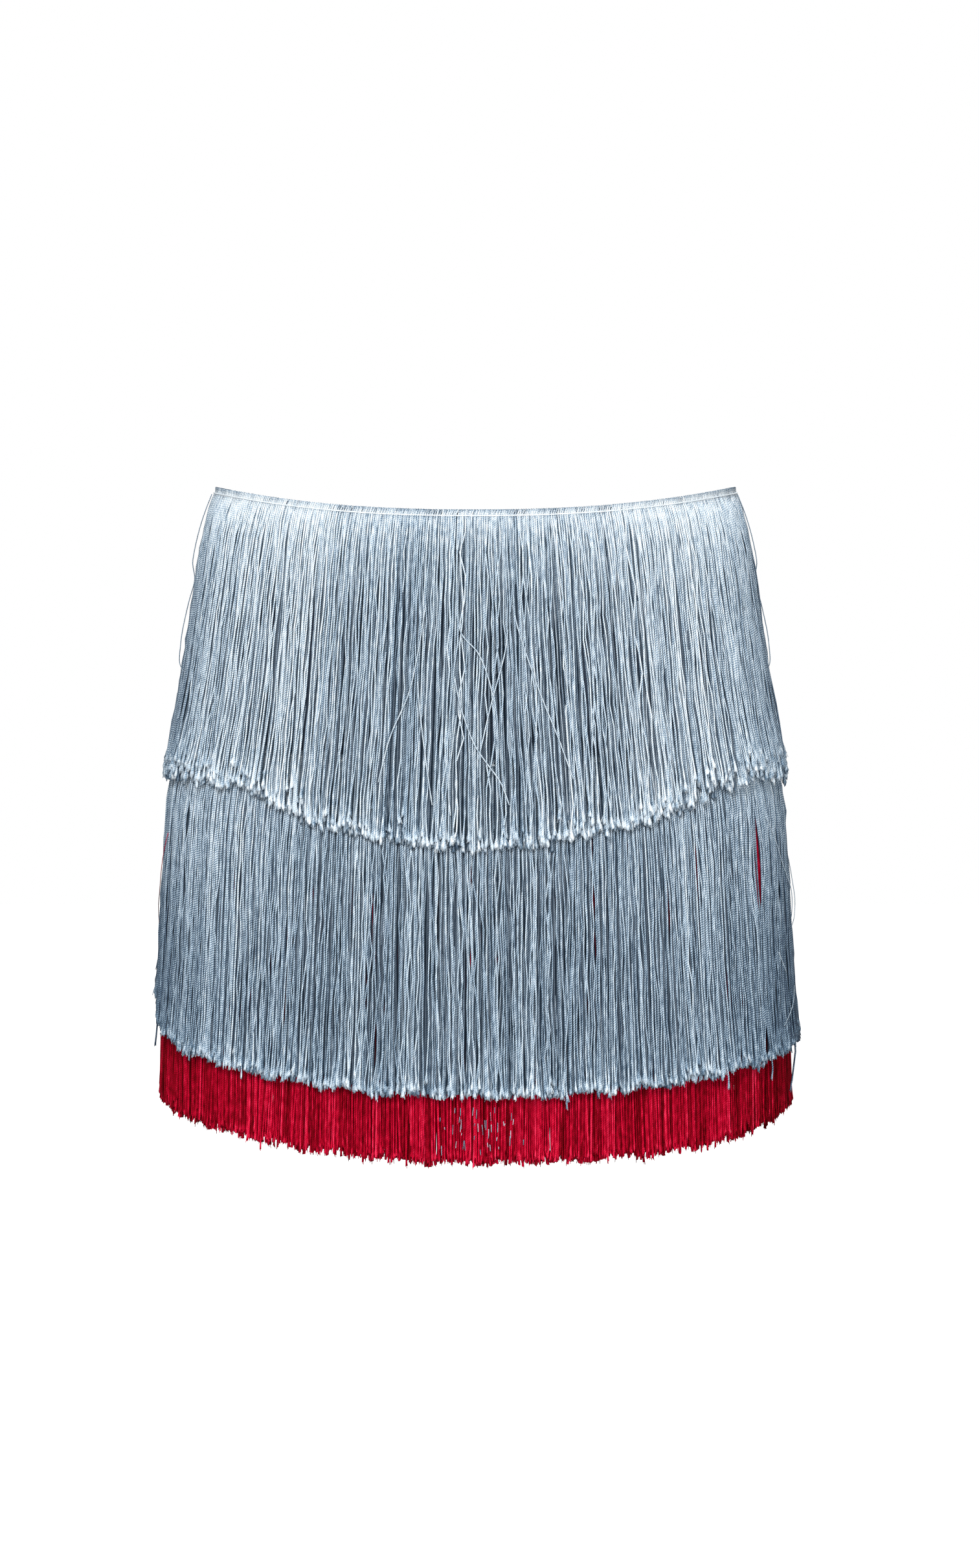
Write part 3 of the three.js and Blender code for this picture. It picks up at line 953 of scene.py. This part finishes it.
STRAYS = {
    "fringe_top": [([LEFT_LOOPS, RIGHT_LOOPS], (0.5, 0.5), 0.3), (OVERLYING, (0.66, 0.7), 0.42)],
    "fringe_middle": [(SINGLE_FIBRES, (0.7, 0.6), 0.24)],
    "fringe_red": [([RED_LOOP], (0.9, -0.6), 0.22)],
}


def stray_tubes(lines, tones, radius):
    """Single loose threads on smooth curves through their points, from one tone to another."""
    parts = []
    for points in lines:
        at = np.linspace(0, len(points) - 1, STEPS_BETWEEN * (len(points) - 1) + 1)
        knots = table("drop turn down out", *((i, *point) for i, point in enumerate(points)))
        turn, down, out = (curve_through(knots, name)(at) for name in ("turn", "down", "out"))
        path, away = place(turn, down, out)[None], outward(turn, down)[None]
        parts.append(tubes(path, away, radius, {"tone": np.linspace(*tones, len(at))}))
    return parts


# %% [markdown]
# ## The three trims
# The front layer is the one that is seen: its strands lie side by side at the heading, 1.4 mm apart.
# The layers behind it fill the gaps and are painted darker, as painted shade. The red trim shows only below
# the blue ones, so it is deep red right through, and light comes through the few gaps below the end of the
# cloth.
# Each trim is two pieces, front and back, to keep every mesh small.

# %% Make the trims
LAYER_COLUMNS = "pitch lift deep tone body width fibres loose"
# The layers behind get painted shade: a lower tone and more of the dark shade colour.
BLUE_LAYERS = table(
    LAYER_COLUMNS,
    (1.38, 0, 0, 0, 11, 1, 6, 1),
    (1.42, -1, 0.4, -0.14, 5, 1, 4, 1),
    (1.5, -1.9, 0.85, -0.25, 4, 1.75, 1, 0.2),
)
RED_LAYERS = table(
    LAYER_COLUMNS,
    (1.05, 0, 0, 0, 4, 1, 2, 1),
    (1.15, -0.8, 0.1, -0.1, 3, 1, 2, 1),
    (1.25, -1.5, 0.3, -0.15, 3, 1.7, 1, 0.3),
)
BLUE_FIBRES = 1.6
RED_FIBRES = 2.0
HALVES = {"front": 0, "back": 180}


def half_of(layer, middle):
    """The strands of a layer on one half of the skirt."""
    chosen = np.abs(turn_between(middle, layer["turn"])) <= 90
    kept = {key: value[chosen] for key, value in layer.items() if key != "marks"}
    kept["marks"] = {key: value[chosen] for key, value in layer["marks"].items()}
    return kept


def make_trim(trim, layers, material, longest):
    rng = np.random.default_rng(trim["seed"])
    hung = [hang_layer(trim, rng, row) for row in layers]
    pieces = []
    for half, middle in HALVES.items():
        parts = []
        for row, layer in zip(layers, hung):
            kept = half_of(layer, middle)
            cut_end = (kept["wide"], kept["long"])
            shape = [kept[name] for name in ("path", "away", "radius", "marks")]
            parts.append(tubes(*shape, start=kept["start"], jag=cut_end))
            loose = fray(kept, rng, row["fibres"], longest)
            loose["cell"] = loose["cell"] + sum(part["cells"] for part in parts[:-1])
            parts.append(loose)
        if half == "front":
            for row in STRAYS[trim["node"]]:
                parts += stray_tubes(*row)
        piece = join_tubes(f"{trim['node']}_{half}", parts, material)
        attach(piece, "root")
        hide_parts(trim["node"])
        pieces.append(piece)
    return pieces


top_pieces = make_trim(TOP, BLUE_LAYERS, blue_yarn, BLUE_FIBRES)
middle_pieces = make_trim(MIDDLE, BLUE_LAYERS, blue_yarn, BLUE_FIBRES)
red_pieces = make_trim(RED, RED_LAYERS, red_yarn, RED_FIBRES)

# %% [markdown]
# ## The thread that holds the heading
# The heading of a fringe is a row of loops caught by one line of chain stitch. It could be a smooth cord, but
# up close each stitch is a small white bead between two loops. One tube round the skirt whose width swells
# and shrinks once for every strand shows that with few faces.

# %% Heading stitches
STITCH_WIDE = 0.6
STITCH_THIN = 0.34
STITCH_OUT = 2.1
STITCH_BELOW = 0.3
STITCH_TONE = 0.95


def heading_stitch(trim, half, material):
    count = 2 * round(even_turns(1, trim["at"])[1] / BLUE_LAYERS[0]["pitch"])
    turns = HALVES[half] + turn_between(HALVES[half], even_turns(count, trim["at"])[0])
    turns = np.sort(turns[np.abs(turns - HALVES[half]) < 90])
    drop = trim["at"] + HEADING + STITCH_BELOW
    radius = np.where(np.arange(len(turns)) % 2, STITCH_WIDE, STITCH_THIN)
    path, away = place(turns, drop, STITCH_OUT)[None], outward(turns, drop)[None]
    beads = tubes(path, away, radius, {"tone": STITCH_TONE})
    piece = join_tubes(f"{trim['node']}_stitch_{half}", [beads], material)
    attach(piece, "root")
    return piece


stitch_pieces = {}
for half in HALVES:
    stitch_pieces[half] = [
        heading_stitch(TOP, half, white_thread),
        heading_stitch(MIDDLE, half, white_thread),
        heading_stitch(RED, half, red_yarn),
    ]

# %% [markdown]
# ## Glints on the red
# Near the middle of the front, small pale marks stand for light glinting through gaps between the red
# strands: they are painted light. Each lies on a strand and points down it, so they are tiny tubes.

# %% Painted glints
FLECKS = 40
FLECK_SEED = 21
FLECK_RADIUS = 0.22
FLECK_OUT = 3.8
FLECK_TURN = (0.5, 3.6)
FLECK_TILT = 0.1
FLECK_DROPS = (348, 373)
FLECK_LENGTHS = (1.4, 6.0)
FLECK_TONES = (0.3, 0.7)


def red_painted_glints():
    rng = np.random.default_rng(FLECK_SEED)
    turn = rng.normal(*FLECK_TURN, (FLECKS, 1))
    turn = turn + rng.uniform(-FLECK_TILT, FLECK_TILT, (FLECKS, 2))
    length = rng.uniform(*FLECK_LENGTHS, FLECKS)
    drop = rng.uniform(*FLECK_DROPS, FLECKS)
    drop = np.stack([drop, drop + length], 1)
    marks = {"tone": rng.uniform(*FLECK_TONES, (FLECKS, 1))}
    flecks = tubes(place(turn, drop, FLECK_OUT), outward(turn, drop), FLECK_RADIUS, marks)
    # Painted light: pale marks that stand for glints between the red strands.
    piece = join_tubes("fringe_red_painted_glints", [flecks], white_thread)
    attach(piece, "root")
    return piece


stitch_pieces["front"].append(red_painted_glints())

# %% [markdown]
# ## The cloth base
# The tube under the fringe is plain stretch cloth in dark blue, sewn from a front and a back.
# It shows inside the waist, under the hem and as darkness in the gaps between the strands.
# It is a thin closed shell on the form of its solid, a little thicker where the hem, the waist edge and the
# side seams are turned in, so that the inside looks sewn too.

# %% Cloth shell
CLOTH = 1.2
TURN_IN = 0.7
BASE_TOP = 1.2
BASE_LENGTH = 330
WAIST_BAND = 9
HEM_BAND = 14
SEAM_BAND = 8
SEAM_HALF_GAP = 0.15
ACROSS = 110
STRETCHES = ((BASE_TOP, 12, 12), (16, 312, 40), (315, BASE_LENGTH, 14))


def step_up(x, edge, soft=0.8):
    """1 on the near side of an edge, 0 past it, with a soft step."""
    return 1 / (1 + np.exp(np.clip((x - edge) / soft, -30, 30)))


def cloth_panel(name, middle, material):
    """Half the base: an outer and an inner skin, closed at the waist, at the hem and at both seams."""
    drops = np.concatenate([np.linspace(start, end, rows) for start, end, rows in STRETCHES])
    reach = 90 - math.degrees(SEAM_HALF_GAP / depth_at(90, 0))
    turns = middle + reach * np.sin(np.linspace(-1, 1, ACROSS + 1) * math.pi / 2)
    turn, drop = np.meshgrid(turns, drops)
    from_seam = np.minimum(turn - turns[0], turns[-1] - turn) * mm_per_degree(turn, drop)
    band = np.maximum(step_up(drop, WAIST_BAND), 1 - step_up(drop, BASE_LENGTH - HEM_BAND))
    band = np.maximum(band, step_up(from_seam, SEAM_BAND))
    outer = place(turn, drop, 0)
    inner = place(turn, drop, -CLOTH - TURN_IN * band)
    rows, columns = turn.shape
    points = np.concatenate([outer.reshape(-1, 3), inner.reshape(-1, 3)])
    index = np.arange(rows * columns).reshape(rows, columns)
    under = index + rows * columns
    skin = np.stack([index[:-1, :-1], index[1:, :-1], index[1:, 1:], index[:-1, 1:]], -1)
    lining = np.stack([under[:-1, 1:], under[1:, 1:], under[1:, :-1], under[:-1, :-1]], -1)
    waist = np.stack([under[0, :-1], index[0, :-1], index[0, 1:], under[0, 1:]], -1)
    hem = np.stack([index[-1, :-1], under[-1, :-1], under[-1, 1:], index[-1, 1:]], -1)
    left = np.stack([under[:-1, 0], under[1:, 0], index[1:, 0], index[:-1, 0]], -1)
    right = np.stack([index[:-1, -1], index[1:, -1], under[1:, -1], under[:-1, -1]], -1)
    faces = np.concatenate([side.reshape(-1, 4) for side in (skin, lining, waist, hem, left, right)])
    return new_piece(name, points, faces.tolist(), material)


# %% [markdown]
# ## Knit
# The cloth is a fine knit, seen only inside and through gaps. Two sine waves, one round the skirt and one
# down it, make its small bumps, and a soft noise mixes two very dark blues so that it isn't one flat colour.

# %% Cloth material
WALES = 480.0
COURSE = 1.6
CLOTH_DARK = (0.008, 0.014, 0.030, 1)
CLOTH_PALE = (0.040, 0.066, 0.112, 1)


def cloth_material():
    material, tree, principled = new_material("base_cloth")
    where = add_node(tree, "ShaderNodeTexCoord").outputs["Object"]
    axes = add_node(tree, "ShaderNodeSeparateXYZ", {"Vector": where}).outputs
    angle = sums(tree, "ARCTAN2", axes["X"], axes["Y"])
    wale = sums(tree, "SINE", sums(tree, "MULTIPLY", angle, WALES))
    course = sums(tree, "SINE", sums(tree, "MULTIPLY", axes["Z"], 2 * math.pi / (COURSE * MM)))
    knit = sums(tree, "MULTIPLY_ADD", sums(tree, "MULTIPLY", wale, course), 0.5, 0.5)
    patches = add_node(tree, "ShaderNodeTexNoise", {"Vector": where, "Scale": 35.0, "Detail": 3.0})
    mixed = sums(tree, "MULTIPLY_ADD", patches.outputs["Fac"], 0.5, sums(tree, "MULTIPLY", knit, 0.5))
    colour = blend_colours(tree, mixed, CLOTH_DARK, CLOTH_PALE)
    bump = add_node(tree, "ShaderNodeBump", {"Height": knit, "Strength": 0.8, "Distance": 0.0004})
    fill(principled, {"Base Color": colour, "Normal": bump.outputs["Normal"]})
    fill(principled, {"Roughness": 0.85, "Sheen Weight": 0.2})
    return material


base_cloth = cloth_material()
panels = {}
for half, middle in HALVES.items():
    panel = cloth_panel(f"base_{half}_cloth", middle, base_cloth)
    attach(panel, "root")
    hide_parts(f"base_{half}")
    panels[half] = panel

# %% [markdown]
# ## Machine stitching
# On the inside of a skirt like this you see how it is sewn: a line of stitches where each trim is held, one
# at the turned waist edge, one at the hem, and one beside each side seam. They could be painted on, but small
# raised stitches catch the light. All stitches of a half are short tubes in one mesh.

# %% Stitch lines on the inside
STITCH = 2.4
STITCH_STEP = 3.3
STITCH_RADIUS = 0.24
IN_TURNED_EDGE = (4.5, WAIST_BAND - 1.2, BASE_LENGTH - HEM_BAND + 1.5)
LINES_ROUND = (*IN_TURNED_EDGE[:2], 149.9, 193.9, IN_TURNED_EDGE[2])
SEAM_LINE = {"aside": 5, "from_drop": 12, "above_hem": HEM_BAND + 4}
CLEAR_OF_SEAM = 89
NAVY_STOPS = table("at colour", (0.0, (0.010, 0.018, 0.040)), (1.0, (0.110, 0.160, 0.240)))
NAVY_LOOK = ("navy_thread", NAVY_STOPS, (0.01, 0.018, 0.04), 0.3, 0.2, 0.0, 0.6, 0.3)
navy_thread = yarn_material(**table(LOOK_COLUMNS, NAVY_LOOK)[0])


def inside_stitches(half, middle):
    ends = []
    for line in LINES_ROUND:
        turns = even_turns(round(even_turns(1, line)[1] / STITCH_STEP), line)[0]
        turns = turns[np.abs(turn_between(middle, turns)) < CLEAR_OF_SEAM]
        swing = STITCH / 2 / mm_per_degree(turns, line)
        depth = -CLOTH - STITCH_RADIUS / 2 - (TURN_IN if line in IN_TURNED_EDGE else 0)
        ends.append(np.stack([place(turns + way * swing, line, depth) for way in (-1, 1)], 1))
    for side in (-1, 1):
        drops = np.arange(SEAM_LINE["from_drop"], BASE_LENGTH - SEAM_LINE["above_hem"], STITCH_STEP)
        turn = middle + side * (90 - SEAM_LINE["aside"] / mm_per_degree(90, drops))
        depth = -CLOTH - TURN_IN - STITCH_RADIUS / 2
        ends.append(np.stack([place(turn, drops + way * STITCH / 2, depth) for way in (-1, 1)], 1))
    path = np.concatenate(ends)
    stitches = tubes(path, unit(path * (1, 1, 0)), STITCH_RADIUS, {"tone": 0.8})
    piece = join_tubes(f"base_{half}_stitches", [stitches], navy_thread)
    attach(piece, "root")
    return piece


for half, middle in HALVES.items():
    stitch_pieces[half].append(inside_stitches(half, middle))

# %% [markdown]
# ## Sizes and the box
# The size that each half of the cloth was cut to is printed. Then the box of the solids and the box of the
# finished skirt are compared, and how far the skirt grows beyond the solids is printed.

# %% Sizes and the box
QUARTER_DEGREES = 720
SAMPLES_DOWN = 60


def panel_width(middle, drop):
    """How wide half the cloth is at a drop, from seam to seam, in mm."""
    turns = middle + np.linspace(-90, 90, QUARTER_DEGREES + 1)
    return mm_per_degree((turns[1:] + turns[:-1]) / 2, drop).sum() * (180 / QUARTER_DEGREES)


for number, (half, panel) in enumerate(panels.items()):
    drops = np.linspace(BASE_TOP, BASE_LENGTH, SAMPLES_DOWN)
    widths = np.array([panel_width(HALVES[half], drop) for drop in drops])
    length = BASE_LENGTH - BASE_TOP
    sizes = f"{widths[0]:.0f} mm wide at the waist, {widths.max():.0f} at the widest, {length:.0f} long"
    print(f"base {half}: {sizes}")

low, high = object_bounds()
grown = [round(float(value) / MM, 1) for value in (*(cad_low - low), *(high - cad_high))]
print("grown beyond the solids, mm:", grown)
